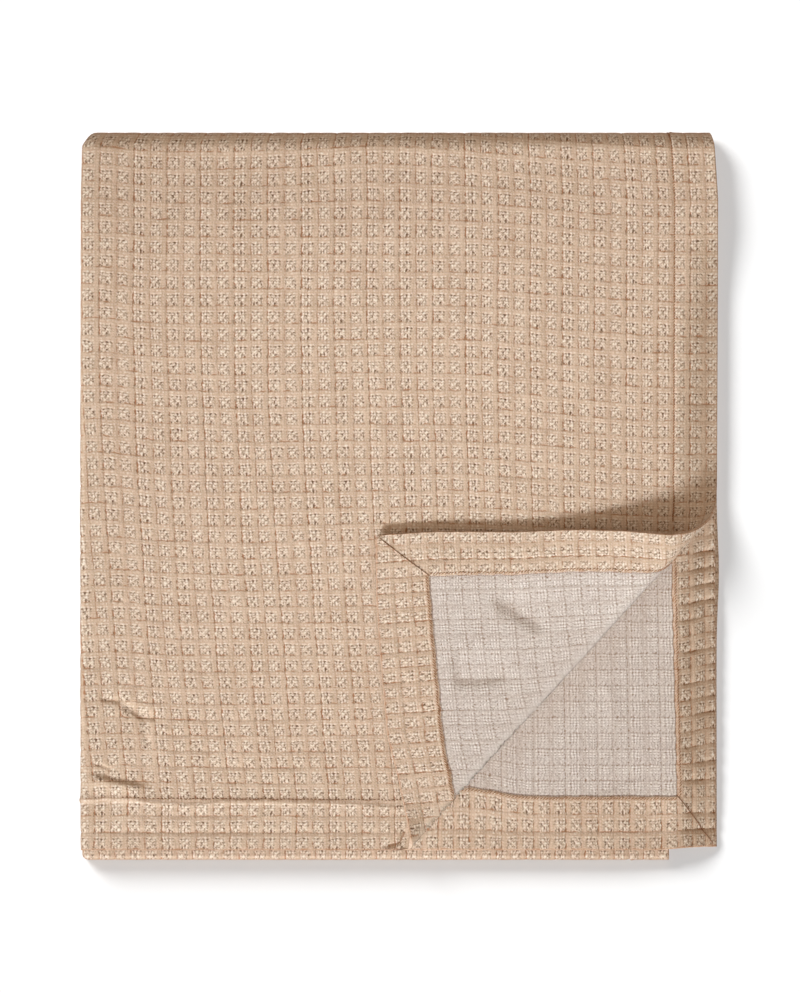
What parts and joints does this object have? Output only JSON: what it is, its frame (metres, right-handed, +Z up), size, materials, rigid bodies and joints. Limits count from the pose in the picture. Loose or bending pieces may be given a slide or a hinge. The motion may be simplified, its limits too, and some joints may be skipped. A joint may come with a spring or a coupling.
{
  "type": "jacquard bedspread",
  "caption": "Crinkled double-woven bedspread, folded in layers with a corner turned back to show its plain reverse and mitred hem",
  "frame": {"origin": "middle of the folded stack's box, on the surface it lies on", "axes": "+Z up out of the stack, +Y towards the large rounded back fold, +X towards the side hem of the top layer"},
  "size_m": [0.6524, 0.7426, 0.0596],
  "materials": {
    "woven_cloth": "matt crinkled double weave: warm beige jacquard face with off-white and brown flecks in puffed squares, light grey-beige checked reverse, face cloth turned onto the reverse as a hem"
  },
  "bodies": {
    "root": {"bedspread": "woven_cloth"}
  },
  "joints": []
}
